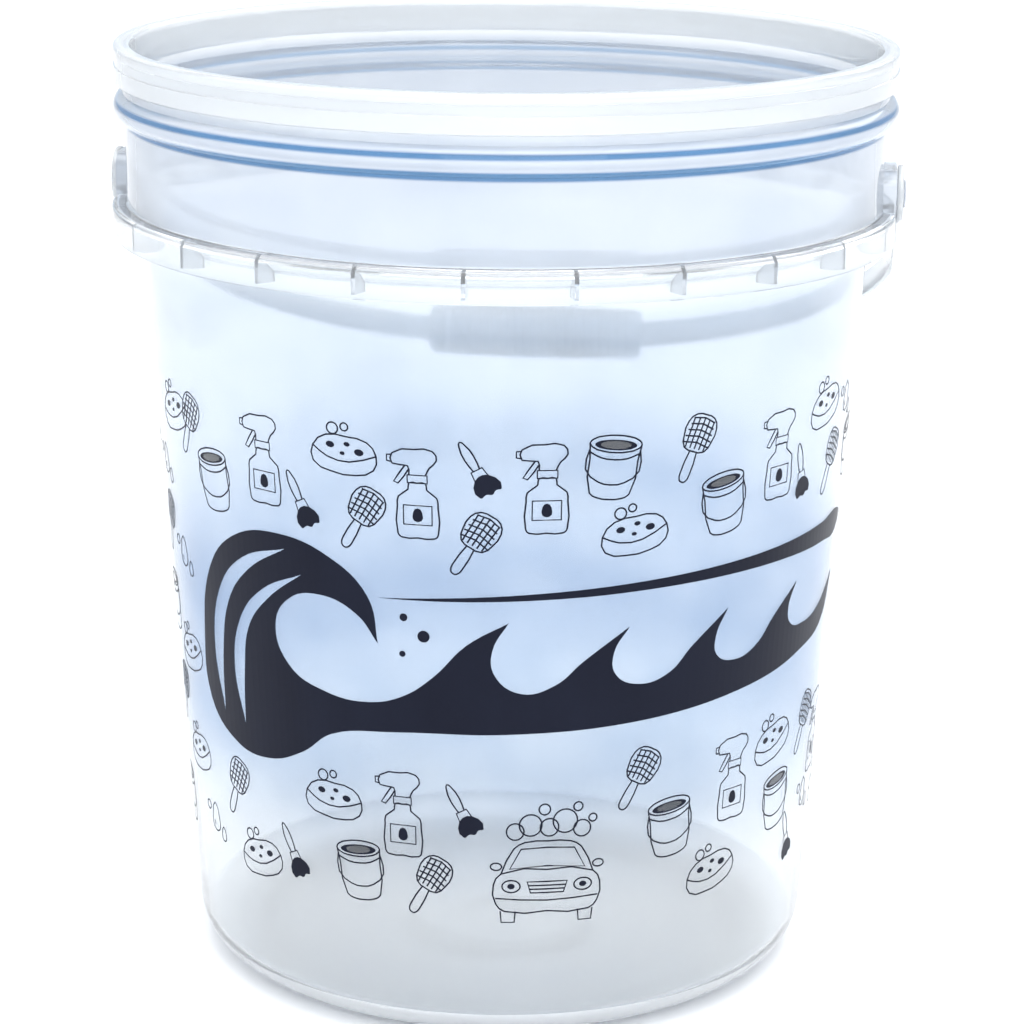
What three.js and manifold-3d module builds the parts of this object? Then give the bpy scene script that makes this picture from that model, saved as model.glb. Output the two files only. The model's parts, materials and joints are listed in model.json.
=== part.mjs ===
// Wash bucket: a 20 litre clear polypropylene pail with a rolled rim, a lid bead, a stacking
// skirt and a one-piece plastic bail. Millimetres, +Z up. The origin is the centre of the
// underside, the ears lie on the X axis, and the bail hangs against the back wall, at +Y.
import * as THREE from "three";
import { mergeVertices } from "three/addons/utils/BufferGeometryUtils.js";
import Module from "manifold-3d";

const wasm = await Module();
wasm.setup();

const gap = 0.3; // between neighbouring features of one moulding
const roundSteps = 84; // facets around the pail
const smallSteps = 32; // facets around a pivot or the grip
const radians = THREE.MathUtils.degToRad;

// Side wall: a straight cone, its radius given at the ground plane and growing with height.
const wall = { groundRadius: 123.7, slope: 0.0673, thickness: 2.2, top: 296 };
const outerRadius = (z) => wall.groundRadius + wall.slope * z;
const innerRadius = (z) => outerRadius(z) - wall.thickness;

// Underside: a foot ring and a centre pad stand on the ground, with a recess between them.
const foot = { innerRadius: 97.3, cornerRadius: 20, insideRadius: 15, top: 22 };
const floor = { radius: 97, underside: 2.4, top: 5, padRadius: 36 };

const neck = { outerRadius: 149.4, innerRadius: 147, bottom: 309.3, top: 339.2 };
const bead = { noseRadius: 6.2, centreRadius: 147.7, centreHeight: 347, top: 353.4 };
const rim = {
  outerRadius: 153.5,
  bandThickness: 2.2,
  bandBottom: 356.3,
  channelRadius: 149.5,
  channelTop: 368.4,
  top: 371,
  edgeRounding: 1.2,
};
const skirt = {
  outerRadius: 155.2,
  thickness: 2,
  bottom: 296.6,
  top: 308.9,
  ribs: 24,
  ribThickness: 1.6,
  ribBottom: 298.4,
};
const ear = { face: 153.8, halfWidth: 15, bottom: 296.6, top: 325, cornerRadius: 6 };
const post = { radius: 4, capRadius: 5.6, capStart: 156.8, capEnd: 157.7, height: 314 };

// Bail: two flat straps that run straight past the rim, then curve in to a round grip.
const strap = { inner: 154.2, thickness: 2.4, width: 10, start: 11.8, straightEnd: 58 };
const bail = { reach: 183, restAngle: 58.7, endThickness: 6 };
const hub = { radius: 11.5, boreRadius: 4.08, edge: 0.7 };
const grip = { radius: 12, endRadius: 10.6, halfLength: 48 };
const strapCentre = strap.inner + strap.thickness / 2;

// ---- helpers ----

function arc(centreX, centreY, radius, fromDegrees, toDegrees, steps) {
  return Array.from({ length: steps + 1 }, (_, i) => {
    const a = radians(fromDegrees + ((toDegrees - fromDegrees) * i) / steps);
    return [centreX + radius * Math.cos(a), centreY + radius * Math.sin(a)];
  });
}

// An S-shaped step from one radius and height to another, level with both at its ends.
function easedStep([fromR, fromZ], [toR, toZ], steps) {
  return Array.from({ length: steps + 1 }, (_, i) => {
    const t = i / steps;
    const eased = t * t * (3 - 2 * t);
    return [fromR + (toR - fromR) * eased, fromZ + (toZ - fromZ) * t];
  });
}

// Turns a profile of [radius, height] points about Z, the outside going up.
function turned(profile, steps = roundSteps) {
  const points = profile.map(([r, z]) => new THREE.Vector2(r, z));
  return new THREE.LatheGeometry(points, steps).rotateX(Math.PI / 2);
}

const turnedRing = (profile) => turned([...profile, profile[0]]);

function solid(geometry) {
  const bare = geometry.index ? geometry.toNonIndexed() : geometry.clone();
  bare.deleteAttribute("normal");
  bare.deleteAttribute("uv");
  const merged = mergeVertices(bare, 1e-4);
  return new wasm.Manifold(
    new wasm.Mesh({
      numProp: 3,
      vertProperties: merged.attributes.position.array,
      triVerts: new Uint32Array(merged.index.array),
    }),
  );
}

function geometryOf(manifold) {
  const mesh = manifold.getMesh();
  const geometry = new THREE.BufferGeometry();
  geometry.setAttribute("position", new THREE.BufferAttribute(mesh.vertProperties, 3));
  geometry.setIndex(new THREE.BufferAttribute(mesh.triVerts, 1));
  geometry.computeVertexNormals();
  return geometry;
}

function outline(points) {
  return new THREE.Shape(points.map(([x, y]) => new THREE.Vector2(x, y)));
}

function extruded(points, depth, curveSegments = 8) {
  return new THREE.ExtrudeGeometry(outline(points), { depth, bevelEnabled: false, curveSegments });
}

const clearPlastic = { color: 0xe6eef7, roughness: 0.18, metalness: 0 };
const bailPlastic = { color: 0xdfe7f2, roughness: 0.3, metalness: 0 };

function piece(name, geometry, look) {
  const mesh = new THREE.Mesh(geometry, new THREE.MeshStandardMaterial(look));
  mesh.name = name;
  return mesh;
}

// ---- shell profiles ----

const cornerCentre = { height: foot.cornerRadius };
const wallLean = THREE.MathUtils.radToDeg(Math.atan(wall.slope));
const tangentHeight = (radius) => cornerCentre.height - radius * Math.sin(radians(wallLean));
cornerCentre.outer =
  outerRadius(tangentHeight(foot.cornerRadius)) - foot.cornerRadius * Math.cos(radians(wallLean));
cornerCentre.inner =
  innerRadius(tangentHeight(foot.insideRadius)) - foot.insideRadius * Math.cos(radians(wallLean));

const floorProfile = [
  [0, 0],
  [floor.padRadius, 0],
  [floor.padRadius + 2, floor.underside],
  [floor.radius, floor.underside],
  [floor.radius, floor.top],
  [0, floor.top],
];

const footProfile = [
  [foot.innerRadius, 0],
  ...arc(cornerCentre.outer, cornerCentre.height, foot.cornerRadius, -90, -wallLean, 7),
  [outerRadius(foot.top), foot.top],
  [innerRadius(foot.top), foot.top],
  ...arc(cornerCentre.inner, cornerCentre.height, foot.insideRadius, -wallLean, -90, 6),
  [foot.innerRadius, floor.top],
];

const wallBottom = foot.top + gap;
const wallProfile = [
  [outerRadius(wallBottom), wallBottom],
  [outerRadius(wall.top), wall.top],
  [innerRadius(wall.top), wall.top],
  [innerRadius(wallBottom), wallBottom],
];

// The wall steps out here, so that a stacked pail stops on the ledge inside.
const shoulderBottom = wall.top + gap;
const shoulderTop = neck.bottom - gap;
const shoulderOutside = [
  [outerRadius(shoulderBottom), shoulderBottom],
  ...easedStep([outerRadius(301), 301], [neck.outerRadius, 307], 6),
  [neck.outerRadius, shoulderTop],
];
const shoulderProfile = [
  ...shoulderOutside,
  [neck.innerRadius, shoulderTop],
  ...easedStep([neck.innerRadius, 307.8], [innerRadius(301.8), 301.8], 6),
  [innerRadius(shoulderBottom), shoulderBottom],
];

const neckProfile = [
  [neck.outerRadius, neck.bottom],
  [neck.outerRadius, neck.top],
  [neck.innerRadius, neck.top],
  [neck.innerRadius, neck.bottom],
];

const grooveRadius = neck.outerRadius + 1;
const noseAngle = (radius) =>
  THREE.MathUtils.radToDeg(Math.acos((radius - bead.centreRadius) / bead.noseRadius));
const beadNose = arc(
  bead.centreRadius,
  bead.centreHeight,
  bead.noseRadius,
  -noseAngle(neck.outerRadius),
  noseAngle(grooveRadius),
  12,
);
const beadProfile = [
  [neck.outerRadius, neck.top + gap],
  ...beadNose,
  [grooveRadius, bead.top],
  [neck.innerRadius, bead.top],
  [neck.innerRadius, neck.top + gap],
];

// The rim is a channel, open downwards, with its inner leg the top of the pail's wall.
const rimBottom = bead.top + gap;
const bandInner = rim.outerRadius - rim.bandThickness;
const edgeHeight = rim.top - rim.edgeRounding;
const rimProfile = [
  [grooveRadius, rimBottom],
  [grooveRadius, rim.bandBottom],
  [rim.channelRadius, rim.bandBottom + 1.5],
  [rim.channelRadius, rim.channelTop],
  [bandInner, rim.channelTop],
  [bandInner, rim.bandBottom],
  [rim.outerRadius, rim.bandBottom],
  ...arc(rim.outerRadius - rim.edgeRounding, edgeHeight, rim.edgeRounding, 0, 90, 4),
  ...arc(neck.innerRadius + rim.edgeRounding, edgeHeight, rim.edgeRounding, 90, 180, 4),
  [neck.innerRadius, rimBottom],
];

// ---- stacking skirt and ears ----

// Everything inside the skirt, grown by the gap, which the skirt's ribs and the ears are cut by.
const core = solid(
  turned([
    [0, 290],
    [outerRadius(290) + gap, 290],
    ...shoulderOutside.map(([r, z]) => [r + gap, z]),
    [neck.outerRadius + gap, 330],
    [0, 330],
  ]),
);

const bandRadius = skirt.outerRadius - skirt.thickness;
const skirtProfile = [
  [bandRadius, skirt.bottom],
  [skirt.outerRadius - 0.7, skirt.bottom],
  [skirt.outerRadius, skirt.bottom + 1.6],
  ...arc(skirt.outerRadius - 1.5, skirt.top - 1.5, 1.5, 0, 90, 4),
  [neck.outerRadius + gap, skirt.top],
  [neck.outerRadius + gap, skirt.top - skirt.thickness],
  [bandRadius, skirt.top - skirt.thickness],
];

const lowestY = (manifold) => manifold.boundingBox().min[1];

function skirtRib(index) {
  const height = skirt.top - 1 - skirt.ribBottom;
  const depth = bandRadius + 1 - 140;
  return solid(
    new THREE.BoxGeometry(depth, skirt.ribThickness, height)
      .translate(140 + depth / 2, 0, skirt.ribBottom + height / 2)
      .rotateZ((2 * Math.PI * index) / skirt.ribs),
  );
}

function earBlock(side, halfWidth, from, to) {
  const depth = to - from;
  return solid(
    new THREE.BoxGeometry(depth, 2 * halfWidth, 60)
      .translate(from + depth / 2, 0, 310)
      .rotateZ(side > 0 ? 0 : Math.PI),
  );
}

// The ears part the skirt into a front half and a back half.
function skirtHalves() {
  let ring = solid(turnedRing(skirtProfile));
  for (let i = 0; i < skirt.ribs; i++) {
    const atAnEar = i % (skirt.ribs / 2) === 0;
    if (!atAnEar) ring = ring.add(skirtRib(i));
  }
  ring = ring.subtract(core);
  for (const side of [1, -1]) {
    ring = ring
      .subtract(earBlock(side, ear.halfWidth + gap, 130, 170))
      .subtract(earBlock(side, 40, ear.face, 170));
  }
  const [front, back] = ring.decompose().sort((a, b) => lowestY(a) - lowestY(b));
  return { front: geometryOf(front), back: geometryOf(back) };
}

// A flat pad with rounded upper corners, and the capped post that the bail snaps over.
function earSolid(side) {
  const { halfWidth: w, cornerRadius: r, top, bottom } = ear;
  const pad = extruded(
    [
      [-w, bottom],
      [w, bottom],
      ...arc(w - r, top - r, r, 0, 90, 6),
      ...arc(r - w, top - r, r, 90, 180, 6),
    ],
    ear.face - 140,
  )
    .rotateX(Math.PI / 2)
    .rotateZ(Math.PI / 2)
    .translate(140, 0, 0);
  const capEdge = 0.5;
  const pin = turned(
    [
      [0, ear.face - 2],
      [post.radius, ear.face - 2],
      [post.radius, post.capStart],
      [post.capRadius, post.capStart],
      ...arc(post.capRadius - capEdge, post.capEnd - capEdge, capEdge, 0, 90, 3),
      [0, post.capEnd],
    ],
    smallSteps,
  )
    .rotateY(Math.PI / 2)
    .translate(0, 0, post.height);
  const rightEar = geometryOf(solid(pad).subtract(core).add(solid(pin)));
  return side > 0 ? rightEar : rightEar.rotateZ(Math.PI);
}

// ---- bail, drawn hanging straight down from the pivots, which are its own X axis ----

// The strap's centre line: distance down from the pivot gives half the width of the hoop.
function strapPoint(t) {
  const straight = strap.straightEnd - strap.start;
  const split = 0.35;
  if (t < split) return [strapCentre, strap.start + (straight * t) / split];
  const endAngle = Math.acos((grip.halfLength + gap) / strapCentre);
  const a = (endAngle * (t - split)) / (1 - split);
  const curve = bail.reach - strap.straightEnd;
  return [strapCentre * Math.cos(a), strap.straightEnd + curve * Math.sin(a)];
}

function strapOutline() {
  const steps = 30;
  const outside = [];
  const inside = [];
  for (let i = 0; i <= steps; i++) {
    const t = i / steps;
    const [x, s] = strapPoint(t);
    const [nextX, nextS] = strapPoint(Math.min(t + 1e-3, 1));
    const [lastX, lastS] = strapPoint(Math.max(t - 1e-3, 0));
    const length = Math.hypot(nextX - lastX, nextS - lastS);
    const across = [(nextS - lastS) / length, (lastX - nextX) / length];
    const thickening = Math.max(0, (t - 0.5) / 0.5) ** 2;
    const half = strap.thickness / 2 + ((bail.endThickness - strap.thickness) / 2) * thickening;
    outside.push([x + across[0] * half, -s - across[1] * half]);
    inside.push([x - across[0] * half, -s + across[1] * half]);
  }
  // Both ends are cut square to X, beside the grip, and level, below the hub.
  inside[steps][0] = outside[steps][0] = grip.halfLength + gap;
  return [...outside, ...inside.reverse()];
}

function strapSolid(side) {
  const shape = extruded(strapOutline(), strap.width)
    .rotateX(Math.PI / 2)
    .translate(0, strap.width / 2, 0);
  return side > 0 ? shape : shape.rotateZ(Math.PI);
}

function hubSolid(side) {
  const far = strap.inner + strap.thickness;
  const profile = [
    [hub.boreRadius, strap.inner],
    [hub.radius - hub.edge, strap.inner],
    [hub.radius, strap.inner + hub.edge],
    [hub.radius, far - hub.edge],
    [hub.radius - hub.edge, far],
    [hub.boreRadius, far],
  ];
  const disc = turned([...profile, profile[0]], smallSteps).rotateY(Math.PI / 2);
  return side > 0 ? disc : disc.rotateZ(Math.PI);
}

function gripSolid() {
  const ends = grip.halfLength;
  const edge = 2;
  const swell = Array.from({ length: 13 }, (_, i) => {
    const x = -(ends - edge) + (2 * (ends - edge) * i) / 12;
    const share = Math.cos((Math.PI / 2) * (x / (ends - edge)));
    return [grip.endRadius + (grip.radius - grip.endRadius) * share, x];
  });
  const axisDepth = -strapPoint(1)[1];
  return turned(
    [[0, -ends], [grip.endRadius - edge, -ends], ...swell, [grip.endRadius - edge, ends], [0, ends]],
    smallSteps,
  )
    .rotateY(Math.PI / 2)
    .translate(0, 0, axisDepth);
}

// ---- assembly ----

const skirtHalf = skirtHalves();
const pail = new THREE.Group();
pail.name = "pail";
pail.add(
  piece("floor_panel", turned(floorProfile), clearPlastic),
  piece("foot_ring", turnedRing(footProfile), clearPlastic),
  piece("side_wall", turnedRing(wallProfile), clearPlastic),
  piece("stacking_shoulder", turnedRing(shoulderProfile), clearPlastic),
  piece("neck_wall", turnedRing(neckProfile), clearPlastic),
  piece("lid_bead", turnedRing(beadProfile), clearPlastic),
  piece("rolled_rim", turnedRing(rimProfile), clearPlastic),
  piece("skirt_front", skirtHalf.front, clearPlastic),
  piece("skirt_back", skirtHalf.back, clearPlastic),
  piece("right_ear", earSolid(1), clearPlastic),
  piece("left_ear", earSolid(-1), clearPlastic),
);

const handle = new THREE.Group();
handle.name = "bail";
for (const [sideName, side] of [
  ["right", 1],
  ["left", -1],
]) {
  handle.add(
    piece(`${sideName}_hub`, hubSolid(side), bailPlastic),
    piece(`${sideName}_strap`, strapSolid(side), bailPlastic),
  );
}
handle.add(piece("grip", gripSolid(), bailPlastic));
handle.position.z = post.height;
handle.rotation.x = radians(bail.restAngle);

const bucket = new THREE.Group();
bucket.name = "wash_bucket";
bucket.add(pail, handle);

export default bucket;
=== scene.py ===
# %% [markdown]
# # A clear plastic wash bucket
#
# A 20 litre pail for washing cars, moulded in clear polypropylene. It has a rolled rim, a bead
# for the lid, a stacking skirt with ribs, a plastic bail on two capped posts, and a printed
# outside. This notebook builds its looks over a finished engineering model of the same size.
#
# The pieces made here take its place, and each one rides on a body of it: the pail stands
# still, and the bail swings.

import json
import math

import bpy
from mathutils import Matrix, Vector


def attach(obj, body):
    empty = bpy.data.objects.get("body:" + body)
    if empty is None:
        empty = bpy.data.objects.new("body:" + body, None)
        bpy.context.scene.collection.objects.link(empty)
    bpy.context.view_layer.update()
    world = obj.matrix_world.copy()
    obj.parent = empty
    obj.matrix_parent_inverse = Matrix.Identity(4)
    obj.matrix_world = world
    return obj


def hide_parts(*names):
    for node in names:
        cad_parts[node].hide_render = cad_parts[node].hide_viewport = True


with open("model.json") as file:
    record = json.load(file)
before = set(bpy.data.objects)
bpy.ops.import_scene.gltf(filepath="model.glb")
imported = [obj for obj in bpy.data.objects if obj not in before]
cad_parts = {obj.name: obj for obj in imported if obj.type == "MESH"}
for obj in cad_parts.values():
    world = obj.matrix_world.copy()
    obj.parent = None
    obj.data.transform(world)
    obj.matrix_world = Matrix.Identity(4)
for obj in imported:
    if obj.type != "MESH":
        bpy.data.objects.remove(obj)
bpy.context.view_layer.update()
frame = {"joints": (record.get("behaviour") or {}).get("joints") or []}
hinge = next(joint for joint in frame["joints"] if joint["name"] == "bail_hinge")

# %% [markdown]
# ## Measurements
#
# Everything is in millimetres here, and `mm` turns it into Blender's metres. Heights are above
# the ground and radii are from the pail's axis. The side wall is a straight cone, so one radius
# at the ground and one slope give its radius at any height.

# %% The pail's measurements
mm = 0.001
wall_thickness = 2.2
wall_slope = 0.0673
ground_radius = 123.7


def outer_radius(height):
    """The side wall's outside radius at a height."""
    return ground_radius + wall_slope * height


def inner_radius(height):
    return outer_radius(height) - wall_thickness


wall_top = 296
neck_outside, neck_inside = 149.4, 147
skirt_outside, skirt_thickness = 155.2, 2
skirt_bottom, skirt_top = 296.6, 308.9
bead_radius, bead_centre_radius, bead_height = 6.2, 147.7, 347
bead_top, groove_radius = 353.4, 150.4
rim_outside, rim_bottom, rim_top = 153.5, 356.3, 371
ear_face, ear_half_width, ear_bottom, ear_top = 153.8, 15, 296.6, 325
pivot_height = hinge["pos_m"][2] / mm
print("wall radius at the top:", round(outer_radius(wall_top), 1), "mm")

# %% [markdown]
# ## Small tools
#
# A moulded plastic part is a thin section carried round an axis. By hand one would add a single
# vertex, extrude it along the section and spin the chain, as `chain` and `spun` do. A flat part
# is such a chain filled and extruded once, as `plate` does. The other tools join, copy, turn and
# smooth pieces. They move the mesh and leave its object at the origin.

# %% Tools for drawing a section
lathe_steps = 240


def start(name):
    """A new mesh object with no vertices in it, open in edit mode."""
    bpy.ops.object.select_all(action="DESELECT")
    bpy.ops.mesh.primitive_plane_add(size=mm)
    piece = bpy.context.object
    piece.name = piece.data.name = name
    bpy.ops.object.mode_set(mode="EDIT")
    bpy.ops.mesh.select_all(action="SELECT")
    bpy.ops.mesh.merge(type="CENTER")
    return piece


def chain(name, points):
    """A chain of edges through the points, given in millimetres, left open in edit mode."""
    piece = start(name)
    places = [Vector(point) * mm for point in points]
    bpy.ops.transform.translate(value=places[0])
    for before, after in zip(places, places[1:]):
        bpy.ops.mesh.extrude_region_move(TRANSFORM_OT_translate={"value": after - before})
    return piece


def tidy_mesh():
    """In edit mode: joins doubled vertices and turns every face outwards."""
    bpy.ops.mesh.select_all(action="SELECT")
    bpy.ops.mesh.remove_doubles(threshold=0.001 * mm)
    bpy.ops.mesh.normals_make_consistent(inside=False)


def spun(name, section, axis=(0, 0, 1), steps=lathe_steps):
    """Carries a section, drawn in the XZ plane, once round an axis through the origin."""
    piece = chain(name, section)
    bpy.ops.mesh.select_all(action="SELECT")
    bpy.ops.mesh.spin(steps=steps, angle=2 * math.pi, center=(0, 0, 0), axis=axis)
    tidy_mesh()
    bpy.ops.object.mode_set(mode="OBJECT")
    return piece


def plate(name, outline, depth):
    """A flat plate: the outline, drawn in the XZ plane, filled and thickened along Y."""
    piece = chain(name, outline)
    bpy.ops.mesh.select_all(action="SELECT")
    bpy.ops.mesh.edge_face_add()
    bpy.ops.transform.translate(value=(0, -depth * mm / 2, 0))
    bpy.ops.mesh.extrude_region_move(TRANSFORM_OT_translate={"value": (0, depth * mm, 0)})
    tidy_mesh()
    bpy.ops.object.mode_set(mode="OBJECT")
    return piece


def arc(centre, radius, begin, end, steps):
    """Points of an arc in the XZ plane. Angles are in degrees, anticlockwise from +X."""
    angles = [math.radians(begin + (end - begin) * i / steps) for i in range(steps + 1)]
    return [(centre[0] + radius * math.cos(a), 0, centre[1] + radius * math.sin(a)) for a in angles]


def step_out(low, high, steps=10):
    """An S-shaped step between two points of a section, upright at both of its ends."""
    shares = [i / steps for i in range(steps + 1)]
    return [
        (low[0] + (high[0] - low[0]) * t * t * (3 - 2 * t), 0, low[1] + (high[1] - low[1]) * t)
        for t in shares
    ]


def at(out, up):
    """One point of a section or an outline in the XZ plane."""
    return (out, 0, up)


def select_only(piece):
    """Selects one piece and makes it the active one."""
    bpy.ops.object.select_all(action="DESELECT")
    piece.select_set(True)
    bpy.context.view_layer.objects.active = piece


def join(pieces):
    """Makes several objects into the first of them."""
    bpy.ops.object.select_all(action="DESELECT")
    for piece in pieces:
        piece.select_set(True)
    bpy.context.view_layer.objects.active = pieces[0]
    if len(pieces) > 1:
        bpy.ops.object.join()
    return pieces[0]


def combine(piece, others):
    """Melts other solids into a piece, so that they share one seamless skin."""
    join(others)
    modifier = piece.modifiers.new("union", "BOOLEAN")
    modifier.operation = "UNION"
    modifier.solver = "EXACT"
    modifier.object = others[0]
    select_only(piece)
    bpy.ops.object.modifier_apply(modifier=modifier.name)
    bpy.data.objects.remove(others[0])


def moved(piece, matrix):
    """Moves a piece and keeps its object at the origin."""
    piece.data.transform(matrix)
    return piece


def copy_of(piece, matrix):
    """A copy with its own mesh, moved by the matrix."""
    twin = piece.copy()
    twin.data = piece.data.copy()
    bpy.context.collection.objects.link(twin)
    return moved(twin, matrix)


def smooth(piece):
    """Shades a piece as round, and keeps edges sharp where it turns by 35 degrees or more."""
    select_only(piece)
    bpy.ops.object.shade_smooth_by_angle(angle=math.radians(35))


def turn(angle):
    """A turn about the pail's own axis, in degrees."""
    return Matrix.Rotation(math.radians(angle), 4, "Z")


print("a full turn has", lathe_steps, "steps")

# %% [markdown]
# ## The pail
#
# The pail is one moulding, so it is one seamless mesh. Its section starts at the middle of the
# underside, goes round the foot, up the outside, over the rim and back down the inside to the
# middle of the floor. On clear plastic this matters: light bends at every surface, and a seam
# between two meshes would show as a line of false reflections.
#
# The underside stands on a foot ring and a centre pad. In the middle is the small round mark
# left by the gate through which the plastic was injected.

# %% The section of the floor and foot
foot_corner, inner_corner_radius = 20, 15
floor_top, recess = 5, 2.4
lean = math.degrees(math.atan(wall_slope))


def corner_centre(radius, wall_radius):
    """The centre of a corner that runs smoothly into the leaning wall."""
    touching = wall_radius(foot_corner - radius * math.sin(math.radians(lean)))
    return (touching - radius * math.cos(math.radians(lean)), foot_corner)


gate_mark = [at(0, 1.2), at(2.2, 1.2), at(2.6, 1.6), at(7, 1.6), at(8.6, 0.4), at(9.4, 0)]
centre_pad = [at(35, 0), at(36, 0.3), at(38, 2.1), at(39, recess)]
thin_ring = [at(60, recess), at(60.3, 2.1), at(61.2, 2.1), at(61.5, recess)]
foot_step = [at(95.6, recess), at(96.6, 2.1), at(97.6, 0.5), at(98.6, 0)]
underside = gate_mark + centre_pad + thin_ring + foot_step
outer_centre = corner_centre(foot_corner, outer_radius)
outer_corner = arc(outer_centre, foot_corner, -90, -lean, 14)
inner_centre = corner_centre(inner_corner_radius, inner_radius)
inner_corner = arc(inner_centre, inner_corner_radius, -lean, -90, 12)
floor_inside = [at(96, floor_top), at(12, floor_top), at(0, floor_top)]
print("points in the underside:", len(underside))

# %% [markdown]
# Higher up, the wall steps outwards to the neck. The step is the ledge that stops one pail
# jamming into another. The skirt hangs from it like a gutter, and carries the stacking load.

# %% The section of the shoulder, skirt and neck
skirt_inside = skirt_outside - skirt_thickness
skirt_ceiling = skirt_top - skirt_thickness
ledge_start, inner_ledge_start, inner_ledge_end = 300.4, 301.8, 307.8
ledge = step_out((outer_radius(ledge_start), ledge_start), (neck_outside, skirt_ceiling - 0.6))
inner_ledge = step_out(
    (inner_radius(inner_ledge_start), inner_ledge_start), (neck_inside, inner_ledge_end)
)
skirt_section = [
    at(neck_outside + 0.5, skirt_ceiling),
    at(skirt_inside - 0.8, skirt_ceiling),
    at(skirt_inside, skirt_ceiling - 0.8),
    at(skirt_inside, skirt_bottom + 0.5),
    at(skirt_inside + 0.4, skirt_bottom),
    at(skirt_outside - 1, skirt_bottom),
    at(skirt_outside - 0.3, skirt_bottom + 0.4),
    at(skirt_outside, skirt_bottom + 1.4),
    *arc((skirt_outside - 1.6, skirt_top - 1.6), 1.6, 0, 90, 6),
    *arc((neck_outside + 1, skirt_top + 1), 1, 270, 180, 4),
]
print("the ledge steps out", round(neck_outside - outer_radius(ledge_start), 1), "mm")

# %% [markdown]
# A lid snaps over the bead and seals on the rim. The rim is rolled into a channel, open at the
# bottom, which stiffens the mouth without the sink marks of a solid lump. A shallow band runs
# round its face. The extra loops in the side wall keep its long faces well shaded.

# %% The section of the bead and the rim
bead_bottom = 339.2
nose_low = math.degrees(math.acos((neck_outside - bead_centre_radius) / bead_radius))
nose_high = math.degrees(math.acos((groove_radius - bead_centre_radius) / bead_radius))
bead_section = [
    at(neck_outside, bead_bottom),
    *arc((bead_centre_radius, bead_height), bead_radius, -nose_low, nose_high, 18),
]
rim_thickness = 2.2
band_bottom, band_top, band_depth = 363, 367.3, 0.45
channel_radius, channel_top = 149.5, 368.4
rim_section = [
    at(groove_radius, bead_top),
    at(groove_radius, rim_bottom + 0.4),
    at(groove_radius - 0.4, rim_bottom + 1.1),
    at(channel_radius, rim_bottom + 2),
    *arc((channel_radius + 0.9, channel_top - 0.9), 0.9, 180, 90, 4),
    *arc((rim_outside - rim_thickness - 0.9, channel_top - 0.9), 0.9, 90, 0, 4),
    at(rim_outside - rim_thickness, rim_bottom + 0.5),
    at(rim_outside - rim_thickness + 0.5, rim_bottom),
    at(rim_outside - 0.6, rim_bottom),
    at(rim_outside, rim_bottom + 0.6),
    at(rim_outside, band_bottom),
    at(rim_outside - band_depth, band_bottom + 0.3),
    at(rim_outside - band_depth, band_top - 0.4),
    at(rim_outside, band_top),
    *arc((rim_outside - 1.4, rim_top - 1.4), 1.4, 0, 90, 6),
    *arc((neck_inside + 1.4, rim_top - 1.4), 1.4, 90, 180, 6),
]
wall_loops = (60, 120, 180, 240, 280, 292, 297)
pail_section = [
    *underside,
    *outer_corner,
    *[at(outer_radius(height), height) for height in wall_loops],
    *ledge,
    *skirt_section,
    *bead_section,
    *rim_section,
    at(neck_inside, 330),
    *reversed(inner_ledge),
    *[at(inner_radius(height), height) for height in reversed(wall_loops)],
    *inner_corner,
    *floor_inside,
]
pail = spun("clear_pail", pail_section)
print("pail:", len(pail.data.polygons), "faces")

# %% [markdown]
# Where the bail passes, the skirt is pressed flat, just behind the face of the ear. By hand:
# select the vertices that stick out, and scale them to zero along X about the plane that they
# should lie in. That leaves a few faces with no area, which are dissolved.

# %% Flattening the skirt beside the ears
skirt_flat = ear_face - 0.3
for side in (1, -1):
    select_only(pail)
    for vertex in pail.data.vertices:
        vertex.select = vertex.co.x * side > skirt_flat * mm and vertex.co.z < ear_top * mm
    for part in [*pail.data.polygons, *pail.data.edges]:
        part.select = False
    bpy.ops.object.mode_set(mode="EDIT")
    bpy.ops.mesh.select_mode(type="VERT")
    bpy.ops.transform.resize(value=(0, 1, 1), center_override=(side * skirt_flat * mm, 0, 0))
    bpy.ops.mesh.select_all(action="SELECT")
    bpy.ops.mesh.dissolve_degenerate(threshold=0.001 * mm)
    bpy.ops.object.mode_set(mode="OBJECT")
widest = max(vertex.co.x for vertex in pail.data.vertices if vertex.co.z < ear_top * mm)
print("skirt flattened to", round(widest / mm, 2), "mm")

# %% [markdown]
# Ribs tie the skirt to the wall, one every fifteen degrees. Seen through the clear skirt, they
# make a row of short upright lines. One is drawn, and the rest are copies turned about the axis.
# There is none at either ear, where the pad fills the space.

# %% The skirt's ribs
rib_thickness, rib_count, rib_bottom = 1.6, 24, 298.4
rib_inside = outer_radius(rib_bottom) - 1.1
rib_outside = skirt_inside + 0.8
rib_outline = [
    at(rib_inside, rib_bottom),
    at(rib_outside, rib_bottom),
    at(rib_outside, skirt_top - 1),
    at(neck_outside - 1.2, skirt_top - 1),
    at(neck_outside - 1.4, skirt_top - 1.9),
    at(rib_inside + 0.2, 301.2),
]
rib = plate("rib", rib_outline, rib_thickness)
ribs = [
    copy_of(rib, turn(360 * i / rib_count))
    for i in range(rib_count)
    if i % (rib_count // 2) != 0
]
bpy.data.objects.remove(rib)
combine(pail, ribs)
print("pail with ribs:", len(pail.data.polygons), "faces")

# %% [markdown]
# Each ear is a flat pad with rounded upper corners. On it stands a short post with a wide cap,
# and the bail's eye snaps over the cap. The pad is drawn flat in XZ and turned to face outwards.
# The post is a section spun about X. Both are melted into the pail before it is smoothed.

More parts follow.
